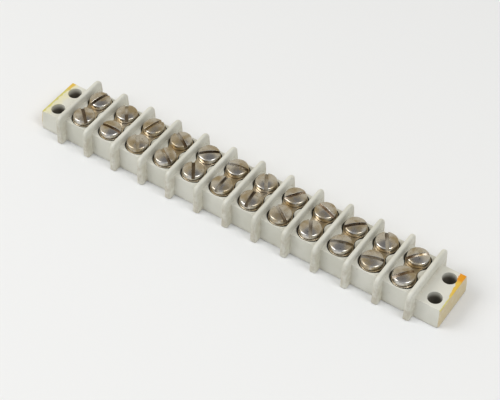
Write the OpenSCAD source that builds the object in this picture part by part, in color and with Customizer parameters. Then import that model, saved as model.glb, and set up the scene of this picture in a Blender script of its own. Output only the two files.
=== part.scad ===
// Barrier terminal strip: one moulded housing, a row of seated dog-bone links
// and two rows of slotted terminal screws.
// Origin: centre of the base. +X along the strip, +Y to the back row, +Z up. Millimetres.

/* [Strip] */
// Number of terminal positions
positions = 12; // [2:1:14]
// Distance from one position to the next
pitch = 9.525; // [9:0.025:13]
// Distance between the front and back rows of screws
row_spacing = 7.5; // [7.2:0.1:7.6]

/* [Housing] */
// Depth of the body at its base
body_depth = 15.7; // [15.6:0.1:24]
// Height of the body between the barriers
cell_height = 7.3; // [7.2:0.1:12]
// How far each long wall between the barriers leans in from base to top
cell_draft = 0.45; // [0:0.05:0.5]
// Radius on the top edges of the body
edge_radius = 0.15; // [0.05:0.05:0.2]

/* [End pads] */
// Height of an end pad, which lies lower than the cells
pad_height = 6.1; // [5:0.1:7.1]
// How far each long wall of an end pad leans in from base to top
pad_draft = 0.85; // [0.5:0.05:1.2]
// Length of an end pad, from the centre of the last barrier to the end face
end_length = 8.4; // [8:0.1:14]
// How far an end face leans in from base to top
end_draft = 0.3; // [0:0.05:0.5]
// Radius on the upright corners of an end pad
corner_radius = 0.8; // [0.2:0.1:1.2]

/* [Barriers] */
// Depth of a barrier, past both long walls of the body
barrier_depth = 20.2; // [19.8:0.1:28]
// Height of a barrier above the base
barrier_height = 9.7; // [9.4:0.1:16]
// Thickness of a barrier at its foot
barrier_foot = 1.95; // [1.6:0.05:2.1]
// Thickness of a barrier at its ridge
barrier_ridge = 1.25; // [0.8:0.05:1.5]
// Radius of the shoulder between a barrier's upright edge and its ridge
shoulder_radius = 2.1; // [1:0.1:2.4]
// Radius that runs all round a barrier's rim
rim_radius = 0.55; // [0.2:0.05:0.6]

/* [Mounting holes] */
// Diameter of the four mounting holes
mount_hole_d = 4.0; // [3:0.1:4.8]
// Distance between the two holes of one end pad
mount_row_spacing = 7.75; // [7:0.05:9]
// Distance from the centre of the last barrier to the holes
mount_offset = 4.76; // [4:0.02:5]

/* [Links] */
// Thickness of a link's plate
link_thickness = 1.0; // [0.8:0.05:1.4]
// Radius of a link's round ends
link_lobe_r = 3.3; // [3.15:0.05:3.35]
// Width of a link at its waist
link_waist = 4.4; // [3.6:0.1:4.8]
// How far a link stands above the cells
link_proud = 0.2; // [0.1:0.05:0.4]
// Diameter of the drawn boss that carries the thread
boss_d = 5.0; // [4.6:0.1:5.4]
// Height of the drawn boss below the plate
boss_height = 1.8; // [1:0.1:2]
// Gap between a link and its pocket, at the waist and towards the long walls
pocket_gap = 0.1; // [0.05:0.01:0.12]
// Ledge left between a pocket and the barriers beside it
pocket_ledge = 0.15; // [0.1:0.05:0.3]

/* [Screws] */
// Diameter of a screw's head
head_d = 6.2; // [5.8:0.1:6.4]
// Height of a head's upright rim
head_rim = 1.15; // [0.8:0.05:1.3]
// Height of a head from its seat to its crown
head_height = 1.95; // [1.9:0.05:2.6]
// Radius that turns a head's rim into its crown
head_edge_r = 0.45; // [0.3:0.05:0.55]
// Width of a screwdriver slot
slot_width = 0.95; // [0.6:0.05:1.2]
// Depth of a screwdriver slot below the crown
slot_depth = 1.1; // [0.8:0.05:1.3]
// Diameter of a screw's shank
shank_d = 3.4; // [3:0.1:3.5]
// Length of a screw below its head
screw_length = 4.8; // [4.5:0.1:5]
// Gap all round a shank in its link
shank_gap = 0.06; // [0.03:0.01:0.1]

/* [Hidden] */

// How far each screw happens to be turned, in degrees from the strip's length
front_turns = [138, 1, 126, 149, 124, 93, 98, 147, 121, 20, 20, 53];
back_turns = [75, 126, 73, 150, 39, 10, 122, 54, 162, 43, 123, 48];

moulding_colour = [0.80, 0.80, 0.74];
link_colour = [0.66, 0.60, 0.52];
screw_colour = [0.70, 0.66, 0.61];

ROUND = 64;          // segments of a full turned surface
TURN_STEPS = 24;     // segments of a full turn round a barrier's shoulder
ARC_STEPS = 6;       // chords in a quarter round of an outline
RIM_STEPS = 5;       // chords in the quarter round of a barrier's rim
LOBE_STEPS = 28;     // chords round one end of a link
WAIST_STEPS = 8;     // chords along one side of a waist
CUT_OVER = 0.5;      // how far a cut runs past the face it opens
BORE_FLOOR = 0.6;    // depth that a blind bore runs below a screw's tip
BORE_GAP = 0.15;     // gap all round a drawn boss and a shank in their bore
PAD_LAP = 0.4;       // how far an end pad runs into the cells behind the last barrier
TIP_CHAMFER = 0.4;   // chamfer on a screw's tip

cells_length = positions * pitch;
row_y = row_spacing / 2;
link_top = cell_height + link_proud;
pocket_floor = link_top - link_thickness;
boss_floor = pocket_floor - boss_height - BORE_GAP;
bore_floor = link_top - screw_length - BORE_FLOOR;
mount_x = cells_length / 2 + mount_offset;
// How far each face of a barrier leans from the upright
barrier_lean = atan((barrier_foot - barrier_ridge) / 2 / barrier_height);
// Half the length of a pocket along the strip, which takes it up to its ledges
pocket_half = (pitch - barrier_foot) / 2 + cell_height * tan(barrier_lean) - pocket_ledge;
// Distance from a waist's middle to the centre of the hollow arc that shapes it
function waist_arc_r(lobe, half) =
    (half * half + row_y * row_y - lobe * lobe) / (2 * (lobe - half));

function position_x(i) = (i - (positions + 1) / 2) * pitch;
function barrier_x(i) = (i - positions / 2) * pitch;
function arc(centre, radius, from, to, steps) =
    [for (i = [0 : steps]) let (a = from + (to - from) * i / steps)
        centre + radius * [cos(a), sin(a)]];
function inner(points) = [for (i = [1 : len(points) - 2]) points[i]];

// Outline of a link grown by a gap: two round ends joined by hollow arcs that run into them.
// Widening stretches the round ends along the strip and leaves the waist as it is.
function dog_bone(gap, widening = 1) =
    let (lobe = link_lobe_r + gap,
         half = (link_waist / 2 + gap) / widening,
         hollow = waist_arc_r(lobe, half),
         aside = half + hollow,
         lean = atan2(row_y, aside))
    [for (point = concat(arc([0, row_y], lobe, -lean, 180 + lean, LOBE_STEPS),
                         inner(arc([-aside, 0], hollow, lean, -lean, WAIST_STEPS)),
                         arc([0, -row_y], lobe, 180 - lean, 360 + lean, LOBE_STEPS),
                         inner(arc([aside, 0], hollow, 180 + lean, 180 - lean, WAIST_STEPS))))
        [point[0] * widening, point[1]]];

// Upright outline that leans in from foot to top, with its two top corners rounded
function leaning(foot, top, height, radius) =
    concat([[-foot / 2, 0], [foot / 2, 0]],
           arc([top / 2 - radius, height - radius], radius, 0, 90, ARC_STEPS),
           arc([radius - top / 2, height - radius], radius, 90, 180, ARC_STEPS));

// A moulded form: what its front, end and plan outlines have in common
module moulded(front, end, plan, length, depth, height) {
    intersection() {
        rotate([90, 0, 0])
            linear_extrude(depth + 2 * CUT_OVER, center = true)
                polygon(front);
        rotate([90, 0, 90])
            linear_extrude(length + 2 * CUT_OVER, center = true)
                polygon(end);
        linear_extrude(height + CUT_OVER)
            polygon(plan);
    }
}

// The body between the first and the last barrier
module cells() {
    rotate([90, 0, 90])
        linear_extrude(cells_length, center = true)
            polygon(leaning(body_depth, body_depth - 2 * cell_draft, cell_height, edge_radius));
}

// One end pad, growing along +X from the centre of the last barrier
module end_pad() {
    side = body_depth / 2 - corner_radius;
    moulded(concat([[-PAD_LAP, 0], [end_length, 0]],
                   arc([end_length - end_draft - edge_radius, pad_height - edge_radius],
                       edge_radius, 0, 90, ARC_STEPS),
                   [[-PAD_LAP, pad_height]]),
            leaning(body_depth, body_depth - 2 * pad_draft, pad_height, edge_radius),
            concat([[-PAD_LAP, -body_depth / 2]],
                   arc([end_length - corner_radius, -side], corner_radius, 270, 360, ARC_STEPS),
                   arc([end_length - corner_radius, side], corner_radius, 0, 90, ARC_STEPS),
                   [[-PAD_LAP, body_depth / 2]]),
            2 * end_length, body_depth, pad_height);
}

// One side of a barrier: a slab that leans in from foot to ridge, its rim rounded all round
module barrier_side() {
    end = barrier_depth / 2;
    top = barrier_height * cos(barrier_lean) + barrier_foot / 2 * sin(barrier_lean);
    translate([barrier_foot / 2, 0, 0])
    rotate([0, -barrier_lean, 0]) {
        translate([0, 0, -CUT_OVER])
            linear_extrude(top - shoulder_radius + CUT_OVER)
                polygon(concat([[-barrier_foot, -end]],
                               arc([-rim_radius, rim_radius - end], rim_radius, 270, 360, RIM_STEPS),
                               arc([-rim_radius, end - rim_radius], rim_radius, 0, 90, RIM_STEPS),
                               [[-barrier_foot, end]]));
        rotate([90, 0, 0])
            linear_extrude(barrier_depth - 2 * shoulder_radius, center = true)
                polygon(concat([[-barrier_foot, 0], [0, 0]],
                               arc([-rim_radius, top - rim_radius], rim_radius, 0, 90, RIM_STEPS),
                               [[-barrier_foot, top]]));
        for (side = [-1, 1])
            translate([0, side * (end - shoulder_radius), top - shoulder_radius])
                rotate([0, 90, 0])
                    rotate_extrude($fn = TURN_STEPS)
                        polygon(concat([[0, -barrier_foot], [shoulder_radius, -barrier_foot]],
                                       arc([shoulder_radius - rim_radius, -rim_radius],
                                           rim_radius, 0, 90, RIM_STEPS),
                                       [[0, 0]]));
    }
}

// A barrier is what its two leaning sides have in common
module barrier() {
    intersection() {
        barrier_side();
        rotate([0, 0, 180]) barrier_side();
        translate([-barrier_foot, -barrier_depth, 0])
            cube([2 * barrier_foot, 2 * barrier_depth, 2 * barrier_height]);
    }
}

// Pocket for one link, with a stepped blind bore for each drawn boss and screw
module link_seat() {
    translate([0, 0, pocket_floor])
        linear_extrude(link_top - pocket_floor + CUT_OVER)
            polygon(dog_bone(pocket_gap, pocket_half / (link_lobe_r + pocket_gap)));
    for (side = [-1, 1])
        translate([0, side * row_y, 0]) {
            translate([0, 0, boss_floor])
                cylinder(h = link_top - boss_floor, d = boss_d + 2 * BORE_GAP, $fn = ROUND);
            translate([0, 0, bore_floor])
                cylinder(h = link_top - bore_floor, d = shank_d + 2 * BORE_GAP, $fn = ROUND);
        }
}

module housing() {
    color(moulding_colour)
    difference() {
        union() {
            cells();
            for (turn = [0, 180])
                rotate([0, 0, turn])
                    translate([cells_length / 2, 0, 0]) end_pad();
            for (i = [0 : positions])
                translate([barrier_x(i), 0, 0]) barrier();
        }
        for (i = [1 : positions])
            translate([position_x(i), 0, 0]) link_seat();
        for (end = [-1, 1], side = [-1, 1])
            translate([end * mount_x, side * mount_row_spacing / 2, -CUT_OVER])
                cylinder(h = cell_height + 2 * CUT_OVER, d = mount_hole_d, $fn = ROUND);
    }
}

// One link: a dog-bone plate with a drawn, tapped boss under each end
module link(i) {
    color(link_colour)
    translate([position_x(i), 0, pocket_floor])
    difference() {
        union() {
            linear_extrude(link_thickness)
                polygon(dog_bone(0));
            for (side = [-1, 1])
                translate([0, side * row_y, -boss_height])
                    cylinder(h = boss_height + link_thickness / 2, d = boss_d, $fn = ROUND);
        }
        for (side = [-1, 1])
            translate([0, side * row_y, -boss_height - CUT_OVER])
                cylinder(h = boss_height + link_thickness + 2 * CUT_OVER,
                         d = shank_d + 2 * shank_gap, $fn = ROUND);
    }
}

// Turned outline of a screw: chamfered tip, shank, flat seat, upright rim, rounded edge, crown
function screw_outline() =
    let (rim_r = head_d / 2,
         in_r = rim_r - head_edge_r,
         rise = head_height - head_rim,
         crown_r = (in_r * in_r + rise * rise - head_edge_r * head_edge_r) / (2 * (rise - head_edge_r)),
         blend = atan2(head_rim - head_height + crown_r, in_r))
    concat([[0, -screw_length], [shank_d / 2 - TIP_CHAMFER, -screw_length],
            [shank_d / 2, TIP_CHAMFER - screw_length], [shank_d / 2, 0], [rim_r, 0]],
           arc([in_r, head_rim], head_edge_r, 0, blend, ARC_STEPS),
           inner(arc([0, head_height - crown_r], crown_r, blend, 90, ARC_STEPS)),
           [[0, head_height]]);

// One slotted screw seated on its link, turned by the given angle
module screw(i, side, turn) {
    color(screw_colour)
    translate([position_x(i), side * row_y, link_top])
    rotate([0, 0, turn])
    difference() {
        rotate_extrude($fn = ROUND)
            polygon(screw_outline());
        translate([0, 0, head_height - slot_depth + (slot_depth + CUT_OVER) / 2])
            cube([head_d + 2 * CUT_OVER, slot_width, slot_depth + CUT_OVER], center = true);
    }
}

housing();
for (i = [1 : positions]) {
    link(i);
    screw(i, -1, front_turns[(i - 1) % len(front_turns)]);
    screw(i, 1, back_turns[(i - 1) % len(back_turns)]);
}
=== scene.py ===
"""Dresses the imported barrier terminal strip.

The strip is one moulded housing with thirteen upright barriers, twelve
dog-bone links seated between them, and two rows of slotted terminal screws.
Everything is in metres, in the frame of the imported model.
"""

from __future__ import annotations

import logging
import math
from dataclasses import dataclass, field
from enum import Enum
from typing import Any, Callable, Sequence

import bmesh
import bpy
from mathutils import Matrix, Vector

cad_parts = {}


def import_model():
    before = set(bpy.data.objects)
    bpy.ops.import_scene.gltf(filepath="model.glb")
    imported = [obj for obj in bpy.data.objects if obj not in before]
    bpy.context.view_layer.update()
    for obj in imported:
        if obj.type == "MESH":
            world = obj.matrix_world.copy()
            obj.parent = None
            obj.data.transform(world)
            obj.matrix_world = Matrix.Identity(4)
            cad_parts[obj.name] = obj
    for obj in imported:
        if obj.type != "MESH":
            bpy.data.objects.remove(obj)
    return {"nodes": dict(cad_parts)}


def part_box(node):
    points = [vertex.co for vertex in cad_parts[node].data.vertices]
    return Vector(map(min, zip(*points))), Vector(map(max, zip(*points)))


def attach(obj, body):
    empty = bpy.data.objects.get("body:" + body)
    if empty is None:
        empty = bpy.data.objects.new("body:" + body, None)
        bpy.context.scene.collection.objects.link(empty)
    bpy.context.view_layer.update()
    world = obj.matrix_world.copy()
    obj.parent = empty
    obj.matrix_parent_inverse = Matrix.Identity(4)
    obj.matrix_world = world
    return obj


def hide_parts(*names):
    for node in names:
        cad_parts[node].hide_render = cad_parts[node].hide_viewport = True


LOG = logging.getLogger("terminal_strip")

MM = 0.001
OWN_MAP = "own_place"
OWN_MAP_SIZE = 10 * MM
CORNER = math.radians(40)  # an edge that turns further than this is a corner
CLOSE = 0.02 * MM  # a point this near to a height or a rim lies on it

Point = tuple[float, float, float]
Colour = tuple[float, float, float, float]
Thing = bpy.types.Object
Tree = bpy.types.NodeTree
Form = bmesh.types.BMesh
FormEdge = bmesh.types.BMEdge


def linear(red: int, green: int, blue: int) -> Colour:
    """Turn an 8-bit display colour into the linear colour that a shader takes.

    Args:
        red: Red, 0 to 255.
        green: Green, 0 to 255.
        blue: Blue, 0 to 255.

    Returns:
        The linear colour, with an alpha of 1.
    """

    def channel(value: int) -> float:
        """Linear value of one display channel."""
        share = value / 255
        return share / 12.92 if share <= 0.04045 else ((share + 0.055) / 1.055) ** 2.4

    return channel(red), channel(green), channel(blue), 1.0


class Row(Enum):
    """The two rows of screws, by the side of the strip that they stand on."""

    FRONT = -1
    BACK = 1

    @property
    def word(self) -> str:
        """The row's name as the nodes spell it."""
        return self.name.lower()


class Slot(str, Enum):
    """The record's material slots."""

    MOULDING = "moulding"
    LINK = "link_plating"
    SCREW = "screw_plating"


@dataclass(frozen=True)
class Layout:
    """Where things lie on the strip, from the centre of its base."""

    positions: int = 12
    pitch: float = 9.525 * MM
    row_half: float = 3.75 * MM
    cell_top: float = 7.3 * MM
    seat_top: float = 7.5 * MM
    slot_floor: float = 8.35 * MM
    pocket_end: float = 7.22 * MM
    pad_top: float = 6.1 * MM
    end_foot: float = 65.55 * MM
    end_lean: float = 0.3 * MM
    hole_x: float = 61.91 * MM
    hole_y: float = 3.875 * MM
    hole_radius: float = 2.0 * MM

    @property
    def cells_half(self) -> float:
        """Half the length of the cells, up to the centre of the last barrier."""
        return self.positions * self.pitch / 2

    def from_hole(self, point: Vector) -> float:
        """Distance of a point from the axis of the nearest mounting hole."""
        return math.hypot(abs(point.x) - self.hole_x, abs(point.y) - self.hole_y)


LAYOUT = Layout()


# ---- Node trees ----


class Wiring:
    """Small helper that adds nodes to a tree and joins them up."""

    def __init__(self, tree: Tree) -> None:
        """Keep the tree that nodes are added to.

        Args:
            tree: The node tree to build in.
        """
        self.tree = tree

    def add(self, kind: str, **settings: Any) -> bpy.types.Node:
        """Add one node and set its properties.

        Args:
            kind: The node's type name.
            **settings: Properties of the node, by name.

        Returns:
            The new node.
        """
        node = self.tree.nodes.new(kind)
        for name, value in settings.items():
            setattr(node, name, value)
        return node

    def join(self, source: Any, target: Any) -> None:
        """Link an output socket to an input socket."""
        self.tree.links.new(source, target)

    def feed(self, target: Any, value: Any) -> None:
        """Give an input a constant, or link an output to it.

        Args:
            target: The input socket.
            value: An output socket or a constant.
        """
        if isinstance(value, bpy.types.NodeSocket):
            self.join(value, target)
        else:
            target.default_value = value

    def maths(self, operation: str, first: Any, second: Any = None, third: Any = None) -> Any:
        """Add a Math node.

        Args:
            operation: Name of the operation.
            first: First operand, a socket or a number.
            second: Second operand, if the operation takes one.
            third: Third operand, if the operation takes one.

        Returns:
            The node's output socket.
        """
        node = self.add("ShaderNodeMath", operation=operation)
        for socket, value in zip(node.inputs, (first, second, third)):
            if value is not None:
                self.feed(socket, value)
        return node.outputs[0]

    def rise(self, value: Any, low: float, high: float) -> Any:
        """Map a value smoothly from 0 at one end to 1 at the other.

        Args:
            value: The socket to map.
            low: Where the result starts to leave 0. It may lie above high.
            high: Where the result reaches 1.

        Returns:
            The output socket.
        """
        node = self.add("ShaderNodeMapRange", interpolation_type="SMOOTHSTEP")
        self.feed(node.inputs["Value"], value)
        node.inputs["From Min"].default_value = min(low, high)
        node.inputs["From Max"].default_value = max(low, high)
        if low > high:
            node.inputs["To Min"].default_value = 1.0
            node.inputs["To Max"].default_value = 0.0
        return node.outputs["Result"]

    def spread(self, value: Any, low: float, high: float) -> Any:
        """Map a value from 0 to 1 evenly onto a range.

        Args:
            value: The socket to map.
            low: What 0 becomes.
            high: What 1 becomes.

        Returns:
            The output socket.
        """
        node = self.add("ShaderNodeMapRange")
        self.join(value, node.inputs["Value"])
        node.inputs["To Min"].default_value = low
        node.inputs["To Max"].default_value = high
        return node.outputs["Result"]

    def product(self, *masks: Any) -> Any:
        """Multiply several masks or numbers.

        Args:
            *masks: The sockets or numbers.

        Returns:
            The output socket.
        """
        result = masks[0]
        for mask in masks[1:]:
            result = self.maths("MULTIPLY", result, mask)
        return result

    def reach(self, first: Any, second: Any) -> Any:
        """Length of the flat vector that has these two parts."""
        return self.maths("SQRT", self.maths("ADD", self.product(first, first),
                                             self.product(second, second)))

    def blend(self, factor: Any, under: Any, over: Any) -> Any:
        """Mix two colours.

        Args:
            factor: How much of the second colour shows.
            under: First colour, a socket or a colour.
            over: Second colour, a socket or a colour.

        Returns:
            The mixed colour's socket.
        """
        node = self.add("ShaderNodeMix", data_type="RGBA")
        self.feed(node.inputs[0], factor)
        self.feed(node.inputs[6], under)
        self.feed(node.inputs[7], over)
        return node.outputs[2]

    def noise(self, vector: Any, scale: Any, detail: float = 3.0, roughness: float = 0.5) -> Any:
        """Add a noise texture and give back its value.

        Args:
            vector: The coordinates.
            scale: Waves per metre, a socket or a number.
            detail: Number of octaves.
            roughness: Strength of each octave beside the one before.

        Returns:
            The value's socket.
        """
        node = self.add("ShaderNodeTexNoise")
        self.feed(node.inputs["Vector"], vector)
        self.feed(node.inputs["Scale"], scale)
        node.inputs["Detail"].default_value = detail
        node.inputs["Roughness"].default_value = roughness
        return node.outputs["Fac"]

    def parts(self, vector: Any) -> tuple[Any, Any, Any]:
        """Take a vector apart.

        Args:
            vector: The vector's socket.

        Returns:
            Its three parts.
        """
        node = self.add("ShaderNodeSeparateXYZ")
        self.join(vector, node.inputs[0])
        return node.outputs[0], node.outputs[1], node.outputs[2]


def start_tree(kind: str, name: str, inputs: Sequence[tuple[str, str, Any]],
               outputs: Sequence[tuple[str, str]]) -> tuple[Wiring, Any, Any]:
    """Make an empty node group with its sockets.

    Args:
        kind: The tree's type, for shaders or for geometry.
        name: The group's name.
        inputs: Name, socket type and default value of each input.
        outputs: Name and socket type of each output.

    Returns:
        The wiring helper, the group's input node and its output node.
    """
    tree = bpy.data.node_groups.new(name, kind)
    for label, socket_type, default in inputs:
        socket = tree.interface.new_socket(name=label, in_out="INPUT", socket_type=socket_type)
        if default is not None:
            socket.default_value = default
    for label, socket_type in outputs:
        tree.interface.new_socket(name=label, in_out="OUTPUT", socket_type=socket_type)
    wiring = Wiring(tree)
    return wiring, wiring.add("NodeGroupInput"), wiring.add("NodeGroupOutput")


class EffectGroups:
    """Shader effects that more than one finish uses, each built once."""

    def __init__(self) -> None:
        """Build the groups."""
        self.patches = self._patches()
        self.grain = self._grain()
        self.cell_place = self._cell_place()

    @staticmethod
    def _patches() -> Tree:
        """Soft-edged patches, for tarnish, stains and thin paint.

        Returns:
            A group that takes a vector, a scale, a cover and an edge, and puts
            out a mask.
        """
        wiring, given, result = start_tree(
            "ShaderNodeTree", "Patches",
            (("Vector", "NodeSocketVector", None), ("Scale", "NodeSocketFloat", 300.0),
             ("Cover", "NodeSocketFloat", 0.5), ("Edge", "NodeSocketFloat", 0.1)),
            (("Mask", "NodeSocketFloat"),))
        cloud = wiring.noise(given.outputs["Vector"], given.outputs["Scale"], 4.0, 0.6)
        middle = wiring.maths("SUBTRACT", 1.0, given.outputs["Cover"])
        step = wiring.add("ShaderNodeMapRange", interpolation_type="SMOOTHSTEP")
        wiring.join(cloud, step.inputs["Value"])
        wiring.join(wiring.maths("SUBTRACT", middle, given.outputs["Edge"]), step.inputs["From Min"])
        wiring.join(wiring.maths("ADD", middle, given.outputs["Edge"]), step.inputs["From Max"])
        wiring.join(step.outputs["Result"], result.inputs["Mask"])
        return wiring.tree

    @staticmethod
    def _grain() -> Tree:
        """Fine uneven surface, for moulded plastic and worn plating.

        Returns:
            A group that takes a vector, a scale, a strength and a depth, and
            puts out a normal.
        """
        wiring, given, result = start_tree(
            "ShaderNodeTree", "Fine grain",
            (("Vector", "NodeSocketVector", None), ("Scale", "NodeSocketFloat", 4000.0),
             ("Strength", "NodeSocketFloat", 0.1), ("Depth", "NodeSocketFloat", 0.0001)),
            (("Normal", "NodeSocketVector"),))
        fine = wiring.noise(given.outputs["Vector"], given.outputs["Scale"], 2.0)
        bump = wiring.add("ShaderNodeBump")
        wiring.join(given.outputs["Strength"], bump.inputs["Strength"])
        wiring.join(given.outputs["Depth"], bump.inputs["Distance"])
        wiring.join(fine, bump.inputs["Height"])
        wiring.join(bump.outputs["Normal"], result.inputs["Normal"])
        return wiring.tree

    @staticmethod
    def _cell_place() -> Tree:
        """Place within a cell, the same for each cell of the strip.

        Returns:
            A group that takes object coordinates, and puts out the distance
            from the middle of the nearest cell and from the nearest screw.
        """
        wiring, given, result = start_tree(
            "ShaderNodeTree", "Place in cell", (("Vector", "NodeSocketVector", None),),
            (("Aside", "NodeSocketFloat"), ("From screw", "NodeSocketFloat")))
        along, across, _ = wiring.parts(given.outputs["Vector"])
        turns = wiring.maths("ADD", along, LAYOUT.cells_half + 4 * LAYOUT.pitch)
        within = wiring.maths("MODULO", turns, LAYOUT.pitch)
        aside = wiring.maths("ABSOLUTE", wiring.maths("SUBTRACT", within, LAYOUT.pitch / 2))
        off_row = wiring.maths("SUBTRACT", wiring.maths("ABSOLUTE", across), LAYOUT.row_half)
        wiring.join(aside, result.inputs["Aside"])
        wiring.join(wiring.reach(aside, off_row), result.inputs["From screw"])
        return wiring.tree

    @staticmethod
    def place(wiring: Wiring, group: Tree, vector: Any, **values: Any) -> Any:
        """Put a group into a material.

        Args:
            wiring: The material's wiring helper.
            group: The group to place.
            vector: The coordinates that it reads.
            **values: Its other inputs, by name.

        Returns:
            The group's outputs.
        """
        node = wiring.add("ShaderNodeGroup", node_tree=group)
        wiring.join(vector, node.inputs["Vector"])
        for name, value in values.items():
            wiring.feed(node.inputs[name], value)
        return node.outputs


# ---- Finishes ----


def blank_material(name: str) -> tuple[bpy.types.Material, Wiring, bpy.types.Node]:
    """Make a material with only its shader and output.

    Args:
        name: The material's name.

    Returns:
        The material, its wiring helper and its Principled BSDF.
    """
    material = bpy.data.materials.new(name)
    material.use_nodes = True
    material.node_tree.nodes.clear()
    wiring = Wiring(material.node_tree)
    shader = wiring.add("ShaderNodeBsdfPrincipled")
    output = wiring.add("ShaderNodeOutputMaterial")
    wiring.join(shader.outputs["BSDF"], output.inputs["Surface"])
    return material, wiring, shader


@dataclass(frozen=True)
class MouldingFinish:
    """Satin thermoset moulding, with painted shade in its pockets, holes and corners, and worn marking
    paint on both ends.
    """

    body: Colour = linear(219, 217, 205)
    shade: Colour = linear(206, 204, 190)
    # Colour of stains, and of the painted shade at the barrier roots and at the foot.
    stain: Colour = linear(168, 156, 130)
    # Colour of the painted shade in the pockets and mounting holes.
    grime: Colour = linear(70, 59, 42)
    yellow: Colour = linear(204, 196, 112)
    gold: Colour = linear(222, 184, 76)
    orange: Colour = linear(224, 148, 16)
    tan: Colour = linear(204, 184, 136)
    wash: Colour = linear(226, 220, 180)
    polish: float = 0.36
    dull: float = 0.52
    root_dirt: float = 0.4
    foot_dirt: float = 0.35
    nose_dirt: float = 0.3
    pocket_dirt: float = 0.93
    hole_dirt: float = 0.85

    def material(self, effects: EffectGroups) -> bpy.types.Material:
        """Build the material.

        Args:
            effects: The shared effect groups.

        Returns:
            The finished material.
        """
        material, wiring, shader = blank_material("moulded_housing")
        place = wiring.add("ShaderNodeTexCoord").outputs["Object"]
        mottle = wiring.noise(place, 90.0, 4.0)
        base = wiring.blend(wiring.rise(mottle, 0.35, 0.7), self.body, self.shade)
        specks = effects.place(wiring, effects.patches, place, Scale=900.0, Cover=0.31,
                               Edge=0.03)["Mask"]
        base = wiring.blend(wiring.product(specks, 0.3), base, self.stain)
        base = self._paint(wiring, effects, place, base)
        # Painted shade in the pockets, holes, barrier roots and at the foot, and darker barrier ends.
        base = self._dirt(wiring, effects, place, base)
        wiring.join(base, shader.inputs["Base Color"])
        wiring.join(wiring.spread(mottle, self.polish, self.dull), shader.inputs["Roughness"])
        normal = effects.place(wiring, effects.grain, place, Scale=5200.0, Strength=0.12,
                               Depth=0.00006)["Normal"]
        wiring.join(normal, shader.inputs["Normal"])
        return material

    def _dirt(self, wiring: Wiring, effects: EffectGroups, place: Any, base: Any) -> Any:
        """Paint shade into the pockets, the mounting holes, the barrier roots and the foot, and darken
        the barrier ends.

        Args:
            wiring: The material's wiring helper.
            effects: The shared effect groups.
            place: Object coordinates.
            base: The colour under the painted shade.

        Returns:
            The colour with its painted shade.
        """
        along, across, up = wiring.parts(place)
        far_along = wiring.maths("ABSOLUTE", along)
        far_across = wiring.maths("ABSOLUTE", across)
        aside = effects.place(wiring, effects.cell_place, place)["Aside"]
        patchy = wiring.rise(wiring.noise(place, 650.0, 3.0), 0.25, 0.75)

        # Painted shade on the walls beside each barrier's root, fading upwards.
        root = wiring.product(wiring.rise(aside, 2.6 * MM, 4.1 * MM),
                              wiring.rise(up, 7.6 * MM, 6.4 * MM),
                              wiring.rise(far_along, LAYOUT.cells_half + 3.0 * MM,
                                          LAYOUT.cells_half + 1.5 * MM),
                              patchy, self.root_dirt)
        base = wiring.blend(root, base, self.stain)
        # Painted shade at the foot, darker towards the base where the strip meets the floor.
        foot = wiring.product(wiring.rise(up, 1.4 * MM, 0.0), patchy, self.foot_dirt)
        # Darker at the front and back ends of the barriers.
        nose = wiring.product(wiring.rise(far_across, 9.2 * MM, 9.9 * MM), patchy, self.nose_dirt)
        base = wiring.blend(wiring.maths("MAXIMUM", foot, nose), base, self.stain)

        # Painted shade down the walls of the link pockets.
        pocket = wiring.product(
            wiring.rise(far_along, LAYOUT.cells_half - 0.3 * MM, LAYOUT.cells_half - 0.4 * MM),
            wiring.rise(far_across, LAYOUT.pocket_end + 0.03 * MM, LAYOUT.pocket_end - 0.02 * MM),
            wiring.rise(up, LAYOUT.cell_top - 0.02 * MM, LAYOUT.cell_top - 0.35 * MM),
            wiring.rise(up, 1.0 * MM, 1.2 * MM), self.pocket_dirt)
        base = wiring.blend(pocket, base, self.grime)

        # Painted shade inside the mounting holes, darker deeper down.
        from_hole = wiring.reach(wiring.maths("SUBTRACT", far_along, LAYOUT.hole_x),
                                 wiring.maths("SUBTRACT", far_across, LAYOUT.hole_y))
        hole = wiring.product(
            wiring.rise(from_hole, LAYOUT.hole_radius + 0.1 * MM, LAYOUT.hole_radius + 0.04 * MM),
            wiring.rise(up, LAYOUT.pad_top - 0.3 * MM, LAYOUT.pad_top - 2.4 * MM), self.hole_dirt)
        return wiring.blend(hole, base, self.grime)

    def _paint(self, wiring: Wiring, effects: EffectGroups, place: Any, base: Any) -> Any:
        """Lay the worn marking paint over the two ends.

        Args:
            wiring: The material's wiring helper.
            effects: The shared effect groups.
            place: Object coordinates.
            base: The colour under the paint.

        Returns:
            The painted colour.
        """
        along, across, up = wiring.parts(place)
        lean = LAYOUT.end_lean / LAYOUT.pad_top
        inset = wiring.maths("SUBTRACT", wiring.maths("MULTIPLY_ADD", up, -lean, LAYOUT.end_foot),
                             wiring.maths("ABSOLUTE", along))
        ragged = wiring.maths("MULTIPLY_ADD", wiring.noise(place, 900.0, 3.0), 1.6 * MM, -0.8 * MM)
        coarse = wiring.maths("MULTIPLY_ADD", wiring.noise(place, 300.0, 2.0), 3.4 * MM, -1.7 * MM)
        thin = effects.place(wiring, effects.patches, place, Scale=800.0, Cover=0.62, Edge=0.2)["Mask"]
        top = wiring.rise(up, LAYOUT.pad_top - 0.3 * MM, LAYOUT.pad_top - 0.1 * MM)
        right = wiring.rise(along, -1.0 * MM, 1.0 * MM)
        left = wiring.rise(along, 1.0 * MM, -1.0 * MM)

        face = wiring.product(wiring.rise(inset, 0.3 * MM, 0.12 * MM),
                              wiring.maths("MULTIPLY_ADD", thin, 0.55, 0.35))
        base = wiring.blend(face, base, self.tan)

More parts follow.
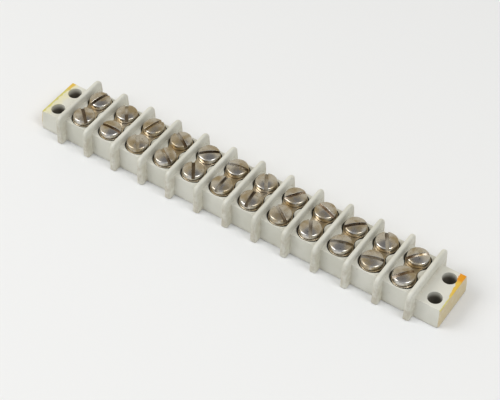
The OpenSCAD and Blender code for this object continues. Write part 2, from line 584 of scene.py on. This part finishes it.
        width = wiring.maths("MULTIPLY_ADD", wiring.rise(across, -3.0 * MM, 7.0 * MM), 1.5 * MM,
                             0.3 * MM)
        spare = wiring.maths("SUBTRACT", wiring.maths("ADD", width, ragged), inset)
        streak = wiring.product(wiring.rise(spare, -0.12 * MM, 0.2 * MM), top, right)
        colour = wiring.blend(wiring.rise(across, -4.0 * MM, 0.5 * MM), self.yellow, self.gold)
        colour = wiring.blend(wiring.rise(wiring.maths("ADD", across, ragged), 3.6 * MM, 5.0 * MM),
                              colour, self.orange)
        base = wiring.blend(streak, base, colour)

        pale = wiring.maths("SUBTRACT", wiring.maths("ADD", coarse, 2.7 * MM), inset)
        wash = wiring.product(wiring.rise(pale, -0.5 * MM, 0.8 * MM), top, left, thin, 0.9)
        base = wiring.blend(wash, base, self.wash)
        band = wiring.maths("MULTIPLY_ADD", wiring.rise(across, 3.0 * MM, 6.2 * MM), 0.8 * MM,
                            0.75 * MM)
        spare = wiring.maths("SUBTRACT", wiring.maths("ADD", band, ragged), inset)
        edge = wiring.product(wiring.rise(spare, -0.15 * MM, 0.25 * MM), top, left)
        colour = wiring.blend(wiring.rise(across, 2.8 * MM, 5.6 * MM), self.yellow, self.gold)
        return wiring.blend(edge, base, colour)


@dataclass(frozen=True)
class PlatingFinish:
    """Nickel plating with a brown film where it has tarnished."""

    name: str
    clean: Colour
    film: Colour
    # Colour of the dirt spots, and of the painted shade under and round the heads.
    grime: Colour
    film_cover: float
    polish: float
    dull: float
    turned: bool = False

    def material(self, effects: EffectGroups) -> bpy.types.Material:
        """Build the material.

        Args:
            effects: The shared effect groups.

        Returns:
            The finished material.
        """
        material, wiring, shader = blank_material(self.name)
        place = wiring.add("ShaderNodeTexCoord").outputs["Object"]
        film = effects.place(wiring, effects.patches, place, Scale=230.0,
                             Cover=self.film_cover, Edge=0.12)["Mask"]
        spots = effects.place(wiring, effects.patches, place, Scale=1700.0, Cover=0.36,
                              Edge=0.04)["Mask"]
        colour = wiring.blend(film, self.clean, self.film)
        colour = wiring.blend(wiring.product(spots, 0.55), colour, self.grime)
        # Painted shade under and round the heads, and patchy shade and dirt in the screw slots.
        colour = wiring.blend(self._grime_mask(wiring, effects, place), colour, self.grime)
        wiring.join(colour, shader.inputs["Base Color"])
        shader.inputs["Metallic"].default_value = 1.0
        wiring.join(wiring.spread(film, self.polish, self.dull), shader.inputs["Roughness"])
        normal = effects.place(wiring, effects.grain, place, Scale=2400.0, Strength=0.22,
                               Depth=0.00004)["Normal"]
        if self.turned:
            normal = self._turned(wiring, normal)
        wiring.join(normal, shader.inputs["Normal"])
        return material

    def _own(self, wiring: Wiring) -> tuple[Any, Any]:
        """Place on the screw's own axes, in metres.

        Args:
            wiring: The material's wiring helper.

        Returns:
            Distance along the slot and across it.
        """
        own = wiring.add("ShaderNodeUVMap", uv_map=OWN_MAP).outputs["UV"]
        along, across, _ = wiring.parts(own)
        return (wiring.maths("MULTIPLY_ADD", along, OWN_MAP_SIZE, -OWN_MAP_SIZE / 2),
                wiring.maths("MULTIPLY_ADD", across, OWN_MAP_SIZE, -OWN_MAP_SIZE / 2))

    def _grime_mask(self, wiring: Wiring, effects: EffectGroups, place: Any) -> Any:
        """Where shade is painted under and round the heads and, on screws, where patchy shade and dirt
        lie in the slot.

        Args:
            wiring: The material's wiring helper.
            effects: The shared effect groups.
            place: Object coordinates.

        Returns:
            The mask's socket.
        """
        up = wiring.parts(place)[2]
        if not self.turned:
            out = effects.place(wiring, effects.cell_place, place)["From screw"]
            # Painted shade on the link round the edge of the screw head.
            ring = wiring.product(wiring.rise(out, 2.7 * MM, 3.0 * MM),
                                  wiring.rise(out, 3.17 * MM, 3.1 * MM),
                                  wiring.rise(up, LAYOUT.seat_top - 0.2 * MM, LAYOUT.seat_top))
            # Painted shade down the link's sides, inside its pocket.
            side = wiring.rise(up, LAYOUT.seat_top - 0.2 * MM, LAYOUT.seat_top - 0.6 * MM)
            return wiring.product(wiring.maths("MAXIMUM", ring, side), 0.7)
        floor = LAYOUT.slot_floor
        across = wiring.maths("ABSOLUTE", self._own(wiring)[1])
        # Patchy darkening in the slot, partly painted shade and partly dirt.
        slot = wiring.product(wiring.rise(across, 0.54 * MM, 0.47 * MM),
                              wiring.rise(up, floor + 0.7 * MM, floor + 0.05 * MM),
                              wiring.rise(up, floor - 0.1 * MM, floor - 0.05 * MM),
                              wiring.rise(wiring.noise(place, 130.0, 1.0), 0.38, 0.56), 0.85)
        # Painted shade along the bottom of the head, just above its seat.
        under = wiring.product(wiring.rise(up, LAYOUT.seat_top - 0.2 * MM, LAYOUT.seat_top),
                               wiring.rise(up, LAYOUT.seat_top + 0.3 * MM,
                                           LAYOUT.seat_top + 0.1 * MM), 0.8)
        return wiring.maths("MAXIMUM", slot, under)

    def _turned(self, wiring: Wiring, normal: Any) -> Any:
        """Add the fine rings that turning leaves on a head.

        Args:
            wiring: The material's wiring helper.
            normal: The normal to start from.

        Returns:
            The new normal.
        """
        rings = wiring.add("ShaderNodeTexNoise", noise_dimensions="1D")
        rings.inputs["Scale"].default_value = 5200.0
        rings.inputs["Detail"].default_value = 1.0
        wiring.join(wiring.reach(*self._own(wiring)), rings.inputs["W"])
        bump = wiring.add("ShaderNodeBump")
        bump.inputs["Strength"].default_value = 0.12
        bump.inputs["Distance"].default_value = 0.00003
        wiring.join(rings.outputs["Fac"], bump.inputs["Height"])
        wiring.join(normal, bump.inputs["Normal"])
        return bump.outputs["Normal"]


SCREW_PLATING = PlatingFinish("screw_nickel", linear(210, 206, 199), linear(178, 162, 132),
                              linear(84, 66, 46), 0.48, 0.2, 0.36, turned=True)
LINK_PLATING = PlatingFinish("link_nickel", linear(216, 204, 182), linear(184, 166, 134),
                             linear(84, 66, 44), 0.54, 0.26, 0.42)


# ---- Mesh helpers ----


def new_object(name: str, data: bpy.types.ID) -> Thing:
    """Put a mesh, camera or lamp into the scene as an object at the origin.

    Args:
        name: The object's name.
        data: Its mesh, camera or lamp.

    Returns:
        The object.
    """
    thing = bpy.data.objects.new(name, data)
    bpy.context.scene.collection.objects.link(thing)
    return thing


def mesh_from(name: str, form: Form, sharp_deg: float = 38.0) -> bpy.types.Mesh:
    """Turn a bmesh into a mesh that shades smooth below an angle.

    Args:
        name: The mesh's name.
        form: The bmesh, which is freed.
        sharp_deg: Edges above this angle stay sharp.

    Returns:
        The mesh.
    """
    limit = math.radians(sharp_deg)
    for face in form.faces:
        face.smooth = True
    for edge in form.edges:
        edge.smooth = len(edge.link_faces) == 2 and edge.calc_face_angle(0.0) < limit
    mesh = bpy.data.meshes.new(name)
    form.to_mesh(mesh)
    form.free()
    return mesh


def merged_copy(node: Thing) -> Form:
    """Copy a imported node's mesh, join its loose triangles and clear flat edges.

    Args:
        node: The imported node's object.

    Returns:
        The copy as a bmesh.
    """
    form = bmesh.new()
    form.from_mesh(node.data)
    bmesh.ops.remove_doubles(form, verts=form.verts, dist=2e-6)
    bmesh.ops.dissolve_limit(form, angle_limit=math.radians(0.5), verts=form.verts, edges=form.edges)
    return form


def soften(form: Form, width: float, chosen: Callable[[FormEdge], bool], segments: int = 2) -> None:
    """Round the chosen edges.

    Args:
        form: The bmesh to change.
        width: Width of the rounding.
        chosen: Says whether an edge is rounded.
        segments: Number of faces across the rounding.
    """
    edges = [edge for edge in form.edges if len(edge.link_faces) == 2 and chosen(edge)]
    bmesh.ops.bevel(form, geom=edges, offset=width, offset_type="OFFSET", segments=segments,
                    profile=0.5, affect="EDGES", clamp_overlap=True)


def baked(thing: Thing) -> Thing:
    """Replace an object's mesh by what its modifiers make of it, and drop them.

    Args:
        thing: The object.

    Returns:
        The same object.
    """
    graph = bpy.context.evaluated_depsgraph_get()
    mesh = bpy.data.meshes.new_from_object(thing.evaluated_get(graph), depsgraph=graph)
    thing.modifiers.clear()
    mesh.name = thing.name
    thing.data = mesh
    return thing


def flatten_shading(thing: Thing) -> Thing:
    """Let the large faces decide the shading beside a rounding.

    Args:
        thing: The object.

    Returns:
        The same object.
    """
    modifier = thing.modifiers.new("weighted", "WEIGHTED_NORMAL")
    modifier.mode, modifier.keep_sharp, modifier.weight = "FACE_AREA", True, 50
    return baked(thing)


def grown(name: str, tree: Tree, **values: Any) -> Thing:
    """Run a Geometry Nodes tree and keep its mesh.

    Args:
        name: Name of the new object.
        tree: The tree.
        **values: Its inputs, by name.

    Returns:
        The object, with no modifier left on it.
    """
    thing = new_object(name, bpy.data.meshes.new(name))
    modifier = thing.modifiers.new("grow", "NODES")
    modifier.node_group = tree
    for item in tree.interface.items_tree:
        if item.item_type == "SOCKET" and item.in_out == "INPUT" and item.name in values:
            modifier[item.identifier] = values[item.name]
    return baked(thing)


class PlacingTrees:
    """Geometry Nodes trees that put what repeats in its place."""

    def __init__(self) -> None:
        """Build the trees."""
        self.seated = self._seated()
        self.in_a_row = self._in_a_row()

    @staticmethod
    def _finish(wiring: Wiring, given: Any, result: Any, geometry: Any) -> Tree:
        """Join the instances into one mesh with its material.

        Args:
            wiring: The tree's wiring helper.
            given: The group's input node.
            result: The group's output node.
            geometry: The geometry so far.

        Returns:
            The finished tree.
        """
        whole = wiring.add("GeometryNodeRealizeInstances")
        painted = wiring.add("GeometryNodeSetMaterial")
        wiring.join(geometry, whole.inputs["Geometry"])
        wiring.join(whole.outputs["Geometry"], painted.inputs["Geometry"])
        wiring.join(given.outputs["Finish"], painted.inputs["Material"])
        wiring.join(painted.outputs["Geometry"], result.inputs["Geometry"])
        return wiring.tree

    def _seated(self) -> Tree:
        """One copy of a piece, turned about its axis and set on its seat.

        Returns:
            The tree.
        """
        wiring, given, result = start_tree(
            "GeometryNodeTree", "Seated piece",
            (("Piece", "NodeSocketObject", None), ("Seat", "NodeSocketVector", None),
             ("Turn", "NodeSocketFloat", 0.0), ("Finish", "NodeSocketMaterial", None)),
            (("Geometry", "NodeSocketGeometry"),))
        piece = wiring.add("GeometryNodeObjectInfo")
        wiring.join(given.outputs["Piece"], piece.inputs["Object"])
        turned = wiring.add("FunctionNodeAxisAngleToRotation")
        turned.inputs["Axis"].default_value = (0.0, 0.0, 1.0)
        wiring.join(given.outputs["Turn"], turned.inputs["Angle"])
        moved = wiring.add("GeometryNodeTransform")
        wiring.join(piece.outputs["Geometry"], moved.inputs["Geometry"])
        wiring.join(given.outputs["Seat"], moved.inputs["Translation"])
        wiring.join(turned.outputs["Rotation"], moved.inputs["Rotation"])
        return self._finish(wiring, given, result, moved.outputs["Geometry"])

    def _in_a_row(self) -> Tree:
        """Copies of a piece at even steps along the strip.

        Returns:
            The tree.
        """
        wiring, given, result = start_tree(
            "GeometryNodeTree", "Pieces in a row",
            (("Piece", "NodeSocketObject", None), ("Count", "NodeSocketInt", 12),
             ("Spacing", "NodeSocketFloat", 0.01), ("Finish", "NodeSocketMaterial", None)),
            (("Geometry", "NodeSocketGeometry"),))
        piece = wiring.add("GeometryNodeObjectInfo")
        piece.inputs["As Instance"].default_value = True
        wiring.join(given.outputs["Piece"], piece.inputs["Object"])
        step = wiring.add("ShaderNodeCombineXYZ")
        wiring.join(given.outputs["Spacing"], step.inputs["X"])
        line = wiring.add("GeometryNodeMeshLine", mode="OFFSET")
        wiring.join(given.outputs["Count"], line.inputs["Count"])
        wiring.join(step.outputs[0], line.inputs["Offset"])
        copies = wiring.add("GeometryNodeInstanceOnPoints")
        wiring.join(line.outputs["Mesh"], copies.inputs["Points"])
        wiring.join(piece.outputs["Geometry"], copies.inputs["Instance"])
        return self._finish(wiring, given, result, copies.outputs["Instances"])


# ---- Sub-assemblies ----


@dataclass
class Housing:
    """The moulded housing."""

    nodes: dict[str, Thing]
    effects: EffectGroups
    finish: MouldingFinish = field(default_factory=MouldingFinish)
    wall_fillet: float = 0.3 * MM
    deck_fillet: float = 0.07 * MM
    hole_edge: float = 0.12 * MM

    def build(self) -> list[Thing]:
        """Round the housing's roots and edges, and give it its finish.

        Returns:
            The housing's one piece.
        """
        form = merged_copy(self.nodes["housing"])
        soften(form, self.wall_fillet, self._on_wall, 3)
        soften(form, self.deck_fillet, self._on_deck)
        soften(form, self.hole_edge, self._on_hole_rim)
        piece = flatten_shading(new_object("housing_moulding", mesh_from("housing_moulding", form)))
        piece.data.materials.append(self.finish.material(self.effects))
        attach(piece, "strip")
        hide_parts("housing")
        return [piece]

    @staticmethod
    def _is_root(edge: FormEdge) -> bool:
        """Say whether an edge is an inside corner between a barrier and what it stands on."""
        return not edge.is_convex and edge.calc_face_angle(0.0) > CORNER

    def _on_wall(self, edge: FormEdge) -> bool:
        """Say whether a barrier's root runs down a long wall, or over an end pad."""
        first, second = (vert.co for vert in edge.verts)
        middle = (first + second) / 2
        if not self._is_root(edge) or min(first.z, second.z) < -1 * MM:
            return False
        upright = abs(first.z - second.z) > 4 * MM
        on_pad = (abs(middle.x) > LAYOUT.cells_half and abs(middle.z - LAYOUT.pad_top) < 0.1 * MM
                  and edge.calc_length() > 4 * MM)
        return (upright and abs(middle.y) > 6 * MM) or on_pad

    def _on_deck(self, edge: FormEdge) -> bool:
        """Say whether a barrier's root runs along the top of a cell."""
        first, second = (vert.co for vert in edge.verts)
        return (self._is_root(edge) and edge.calc_length() > 1 * MM
                and max(abs(first.z - LAYOUT.cell_top), abs(second.z - LAYOUT.cell_top)) < CLOSE)

    @staticmethod
    def _on_hole_rim(edge: FormEdge) -> bool:
        """Say whether an edge is part of the upper rim of a mounting hole."""
        return all(abs(vert.co.z - LAYOUT.pad_top) < CLOSE
                   and abs(LAYOUT.from_hole(vert.co) - LAYOUT.hole_radius) < 2.5 * CLOSE
                   for vert in edge.verts) and edge.calc_face_angle(0.0) > CORNER


@dataclass
class Links:
    """The twelve dog-bone links, one stamping repeated along the strip."""

    nodes: dict[str, Thing]
    effects: EffectGroups
    trees: PlacingTrees
    edge_rounding: float = 0.12 * MM

    def build(self) -> list[Thing]:
        """Make all the links.

        Returns:
            The links' one piece.
        """
        form = merged_copy(self.nodes["link_1"])
        soften(form, self.edge_rounding, self._on_upper_edge, 3)
        stamping = flatten_shading(new_object("stamping", mesh_from("stamping", form)))
        piece = grown("seated_links", self.trees.in_a_row, Piece=stamping,
                      Count=LAYOUT.positions, Spacing=LAYOUT.pitch,
                      Finish=LINK_PLATING.material(self.effects))
        bpy.data.objects.remove(stamping)
        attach(piece, "strip")
        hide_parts(*(f"link_{i}" for i in range(1, LAYOUT.positions + 1)))
        return [piece]

    @staticmethod
    def _on_upper_edge(edge: FormEdge) -> bool:
        """Say whether an edge is part of the outline of the link's upper face."""
        return (all(abs(vert.co.z - LAYOUT.seat_top) < CLOSE for vert in edge.verts)
                and edge.is_convex and edge.calc_face_angle(0.0) > CORNER)


@dataclass(frozen=True)
class ScrewShape:
    """Sizes of one slotted screw, measured from its seat."""

    head_radius: float = 3.1 * MM
    rim_height: float = 1.15 * MM
    edge_radius: float = 0.45 * MM
    head_height: float = 1.95 * MM
    under_edge: float = 0.08 * MM
    slot_width: float = 0.95 * MM
    slot_depth: float = 1.1 * MM
    slot_chamfer: float = 0.06 * MM
    shank_radius: float = 1.7 * MM
    length: float = 4.8 * MM
    tip: float = 0.4 * MM
    thread_pitch: float = 0.7 * MM
    thread_depth: float = 0.3 * MM
    thread_start: float = 0.35 * MM
    thread_fade: float = 0.5 * MM
    flank_slope: float = 1.35
    crest_share: float = 0.18
    neck: float = 0.02 * MM
    slot_lip: float = 0.03 * MM
    slot_overrun: float = 0.4 * MM
    slot_stations: int = 60
    around: int = 80
    rows_a_turn: int = 8
    edge_rows: int = 8
    crown_rows: Sequence[float] = (0.97, 0.9, 0.8, 0.68, 0.55, 0.42, 0.3, 0.17)

    @property
    def inner_radius(self) -> float:
        """Radius at which the crown meets the rounded edge's centre line."""
        return self.head_radius - self.edge_radius

    @property
    def crown_radius(self) -> float:
        """Radius of the ball that the crown is part of."""
        rise = self.head_height - self.rim_height
        return ((self.inner_radius ** 2 + rise ** 2 - self.edge_radius ** 2)
                / (2 * (rise - self.edge_radius)))

    @property
    def blend_angle(self) -> float:
        """Angle at which the rounded edge runs into the crown."""
        return math.atan2(self.rim_height - self.head_height + self.crown_radius, self.inner_radius)

    def height_at(self, radius: float) -> float:
        """Height of the head's surface above the seat.

        Args:
            radius: Distance from the screw's axis.

        Returns:
            The height.
        """
        meeting = self.inner_radius + self.edge_radius * math.cos(self.blend_angle)
        if radius <= meeting:
            return self.head_height - self.crown_radius + math.sqrt(
                self.crown_radius ** 2 - radius ** 2)
        over = min(radius - self.inner_radius, self.edge_radius)
        return self.rim_height + math.sqrt(self.edge_radius ** 2 - over ** 2)

    def groove(self, height: float, turn: float) -> float:
        """Depth of the thread at a point of the shank.

        Args:
            height: Height above the seat, which is negative on the shank.
            turn: Share of a full turn round the axis.

        Returns:
            The depth.
        """
        phase = (height / self.thread_pitch - turn) % 1.0
        flank = min(max(abs(2 * phase - 1) * self.flank_slope - self.crest_share, 0.0), 1.0)
        fade_top = min(max((-height - self.thread_start) / self.thread_fade, 0.0), 1.0)
        fade_tip = min(max((height + self.length) / self.thread_fade, 0.0), 1.0)
        return self.thread_depth * flank * fade_top * fade_tip

    def rows(self) -> list[tuple[float, float]]:
        """Radius and height of each ring of points, from the tip to the crown.

        Returns:
            The rings, without the two points on the axis.
        """
        start = self.tip - self.length
        step = self.thread_pitch / self.rows_a_turn
        count = int(-start / step)
        rows = [(self.shank_radius - self.tip, -self.length)]
        rows += [(self.shank_radius, start + (-self.neck - start) * i / count)
                 for i in range(count + 1)]
        rows += [(self.shank_radius + self.neck, 0.0), (self.head_radius - self.under_edge, 0.0)]
        rows += [(self.head_radius - self.under_edge * (1 - math.sin(a)),
                  self.under_edge * (1 - math.cos(a)))
                 for a in (math.radians(30), math.radians(60), math.radians(90))]
        rows += [(self.inner_radius + self.edge_radius * math.cos(a),
                  self.rim_height + self.edge_radius * math.sin(a))
                 for a in (self.blend_angle * i / self.edge_rows for i in range(self.edge_rows + 1))]
        rows += [(self.inner_radius * share, self.height_at(self.inner_radius * share))
                 for share in self.crown_rows]
        return rows

    def blank(self) -> Form:
        """Turn the screw before its slot is cut.

        Returns:
            The closed form.
        """
        form = bmesh.new()
        rings = []
        for radius, height in self.rows():
            ring = []
            for i in range(self.around):
                turn = i / self.around
                out = radius
                if radius == self.shank_radius:
                    out -= self.groove(height, turn)
                angle = 2 * math.pi * turn
                ring.append(form.verts.new((out * math.cos(angle), out * math.sin(angle), height)))
            rings.append(ring)
        pairs = [(i, (i + 1) % self.around) for i in range(self.around)]
        for low, high in zip(rings, rings[1:]):
            for i, j in pairs:
                form.faces.new((low[i], low[j], high[j], high[i]))
        tip = form.verts.new((0.0, 0.0, -self.length))
        crown = form.verts.new((0.0, 0.0, self.head_height))
        for i, j in pairs:
            form.faces.new((rings[0][j], rings[0][i], tip))
            form.faces.new((rings[-1][i], rings[-1][j], crown))
        return form

    def cutter(self) -> Form:
        """Make the form that cuts the slot, flared where it leaves the crown.

        Returns:
            The closed form.
        """
        form = bmesh.new()
        half, flare, over = self.slot_width / 2, self.slot_chamfer, self.slot_lip
        floor = self.head_height - self.slot_depth
        stations = []
        for i in range(self.slot_stations + 1):
            along = (2 * i / self.slot_stations - 1) * (self.head_radius + self.slot_overrun)
            surface = self.height_at(math.hypot(along, half))
            side = ((half, floor), (half, surface - flare), (half + flare + over, surface + over),
                    (half + flare + over, 2 * self.head_height))
            outline = [(-y, z) for y, z in side] + [(y, z) for y, z in reversed(side)]
            stations.append([form.verts.new((along, y, z)) for y, z in outline])
        for first, second in zip(stations, stations[1:]):
            for i in range(len(first)):
                j = (i + 1) % len(first)
                form.faces.new((first[i], first[j], second[j], second[i]))
        form.faces.new(stations[0])
        form.faces.new(stations[-1])
        bmesh.ops.recalc_face_normals(form, faces=form.faces)
        return form

    def master(self) -> Thing:
        """Make the slotted screw, standing on its seat at the origin.

        Returns:
            The screw's object.
        """
        screw = new_object("screw_master", mesh_from("screw_master", self.blank()))
        tool = new_object("slot_tool", mesh_from("slot_tool", self.cutter()))
        cut = screw.modifiers.new("slot", "BOOLEAN")
        cut.operation, cut.solver, cut.object = "DIFFERENCE", "EXACT", tool
        baked(screw)
        bpy.data.objects.remove(tool)
        form = bmesh.new()
        form.from_mesh(screw.data)
        bmesh.ops.remove_doubles(form, verts=form.verts, dist=1e-6)
        own = form.loops.layers.uv.new(OWN_MAP)
        for face in form.faces:
            for loop in face.loops:
                place = loop.vert.co / OWN_MAP_SIZE
                loop[own].uv = (place.x + 0.5, place.y + 0.5)
        screw.data = mesh_from("screw_master", form, 32.0)
        return flatten_shading(screw)


@dataclass
class Screws:
    """The two rows of slotted screws, each turned its own way."""

    effects: EffectGroups
    trees: PlacingTrees
    shape: ScrewShape = field(default_factory=ScrewShape)
    front_turns: Sequence[int] = (138, 1, 126, 149, 124, 93, 98, 147, 121, 20, 20, 53)
    back_turns: Sequence[int] = (75, 126, 73, 150, 39, 10, 122, 54, 162, 43, 123, 48)

    def build(self) -> list[Thing]:
        """Make all the screws.

        Returns:
            The screws' pieces.
        """
        master = self.shape.master()
        finish = SCREW_PLATING.material(self.effects)
        pieces = []
        for row, turns in ((Row.FRONT, self.front_turns), (Row.BACK, self.back_turns)):
            for index, turn in enumerate(turns, 1):
                node = f"screw_{row.word}_{index}"
                low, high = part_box(node)
                seat = ((low[0] + high[0]) / 2, (low[1] + high[1]) / 2, low[2] + self.shape.length)
                piece = grown(f"{node}_turned", self.trees.seated, Piece=master, Seat=seat,
                              Turn=math.radians(turn), Finish=finish)
                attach(piece, node)
                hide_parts(node)
                pieces.append(piece)
        bpy.data.objects.remove(master)
        return pieces


# ---- Studio ----


@dataclass(frozen=True)
class Viewpoint:
    """Where the camera stands and which way it looks."""

    place: Point = (0.15856, -0.23372, 0.31329)
    heading: float = -0.5904
    dip: float = 0.8344
    roll: float = 0.0027
    lens: float = 109.715

    def build(self) -> None:
        """Make the camera."""
        ahead = Vector((math.cos(self.dip) * math.sin(self.heading),
                        math.cos(self.dip) * math.cos(self.heading), -math.sin(self.dip)))
        level = Vector((math.cos(self.heading), -math.sin(self.heading), 0.0))
        above = level.cross(ahead)
        right = level * math.cos(self.roll) + above * math.sin(self.roll)
        top = above * math.cos(self.roll) - level * math.sin(self.roll)
        data = bpy.data.cameras.new("view")
        data.sensor_fit, data.sensor_width, data.lens = "HORIZONTAL", 36.0, self.lens
        data.clip_start, data.clip_end = 0.01, 20.0
        camera = new_object("view", data)
        camera.matrix_world = Matrix.Translation(self.place) @ Matrix(
            (right, top, -ahead)).transposed().to_4x4()
        bpy.context.scene.camera = camera


@dataclass(frozen=True)
class Lamp:
    """One soft rectangular lamp that points at the strip."""

    name: str
    place: Point
    size: float
    power: float

    def build(self) -> None:
        """Make the lamp."""
        data = bpy.data.lights.new(self.name, "AREA")
        data.shape, data.size, data.energy = "SQUARE", self.size, self.power
        lamp = new_object(self.name, data)
        lamp.location = self.place
        lamp.rotation_euler = (-Vector(self.place)).to_track_quat("-Z", "Y").to_euler()


@dataclass
class Studio:
    """Floor, lamps, world and camera."""

    backdrop: Colour = linear(236, 236, 235)
    world_strength: float = 0.64
    room: Colour = linear(224, 228, 234)
    wall: Colour = linear(255, 247, 228)
    shade: Colour = linear(150, 150, 154)
    floor_half: float = 1.5
    floor_gap: float = 0.2 * MM
    away: Point = (-0.556, 0.831, 0.0)
    overhead: Point = (-0.206, 0.308, 0.929)
    lamps: Sequence[Lamp] = (
        Lamp("left", (-0.464, -0.304, 0.576), 0.46, 2.9),
        Lamp("right", (0.456, -0.048, 0.664), 0.3, 1.9),
    )

    def build(self) -> None:
        """Set up everything round the object."""
        self._world()
        self._floor()
        for lamp in self.lamps:
            lamp.build()
        Viewpoint().build()
        bpy.context.scene.view_settings.view_transform = "Standard"

    def _world(self) -> None:
        """Make the world's light, a little warm on the far side and dimmer overhead."""
        world = bpy.data.worlds.new("studio")
        world.use_nodes = True
        world.node_tree.nodes.clear()
        wiring = Wiring(world.node_tree)
        path = wiring.add("ShaderNodeLightPath")
        direction = wiring.add("ShaderNodeTexCoord").outputs["Generated"]
        colour = wiring.blend(self._towards(wiring, direction, self.away, 0.0, 0.6),
                              self.room, self.wall)
        colour = wiring.blend(self._towards(wiring, direction, self.overhead, 0.93, 0.985),
                              colour, self.shade)
        light = wiring.add("ShaderNodeBackground")
        wiring.join(colour, light.inputs["Color"])
        light.inputs["Strength"].default_value = self.world_strength
        seen = wiring.add("ShaderNodeBackground")
        seen.inputs["Color"].default_value = self.backdrop
        mix = wiring.add("ShaderNodeMixShader")
        output = wiring.add("ShaderNodeOutputWorld")
        wiring.join(path.outputs["Is Camera Ray"], mix.inputs[0])
        wiring.join(light.outputs[0], mix.inputs[1])
        wiring.join(seen.outputs[0], mix.inputs[2])
        wiring.join(mix.outputs[0], output.inputs["Surface"])
        bpy.context.scene.world = world

    @staticmethod
    def _towards(wiring: Wiring, direction: Any, goal: Point, low: float, high: float) -> Any:
        """How closely a direction points to a goal.

        Args:
            wiring: The world's wiring helper.
            direction: The direction's socket.
            goal: The goal, of unit length.
            low: Cosine of the angle at which the result starts to leave 0.
            high: Cosine of the angle at which it reaches 1.

        Returns:
            The output socket.
        """
        node = wiring.add("ShaderNodeVectorMath", operation="DOT_PRODUCT")
        wiring.join(direction, node.inputs[0])
        node.inputs[1].default_value = goal
        return wiring.rise(node.outputs["Value"], low, high)

    def _floor(self) -> None:
        """Make the pale floor that the strip lies on."""
        form = bmesh.new()
        bmesh.ops.create_grid(form, x_segments=1, y_segments=1, size=self.floor_half)
        floor = new_object("floor", mesh_from("floor", form))
        floor.location.z = -self.floor_gap
        material, _, shader = blank_material("floor")
        shader.inputs["Base Color"].default_value = self.backdrop
        shader.inputs["Roughness"].default_value = 0.9
        floor.data.materials.append(material)


def main() -> None:
    """Load the frame, set up the studio and dress every piece."""
    logging.basicConfig(level=logging.INFO, format="%(message)s")
    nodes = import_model()["nodes"]
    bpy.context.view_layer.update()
    Studio().build()
    effects, trees = EffectGroups(), PlacingTrees()
    for parts in (Housing(nodes, effects), Links(nodes, effects, trees), Screws(effects, trees)):
        for piece in parts.build():
            LOG.info("%s: %d faces", piece.name, len(piece.data.polygons))


if __name__ == "__main__":
    main()
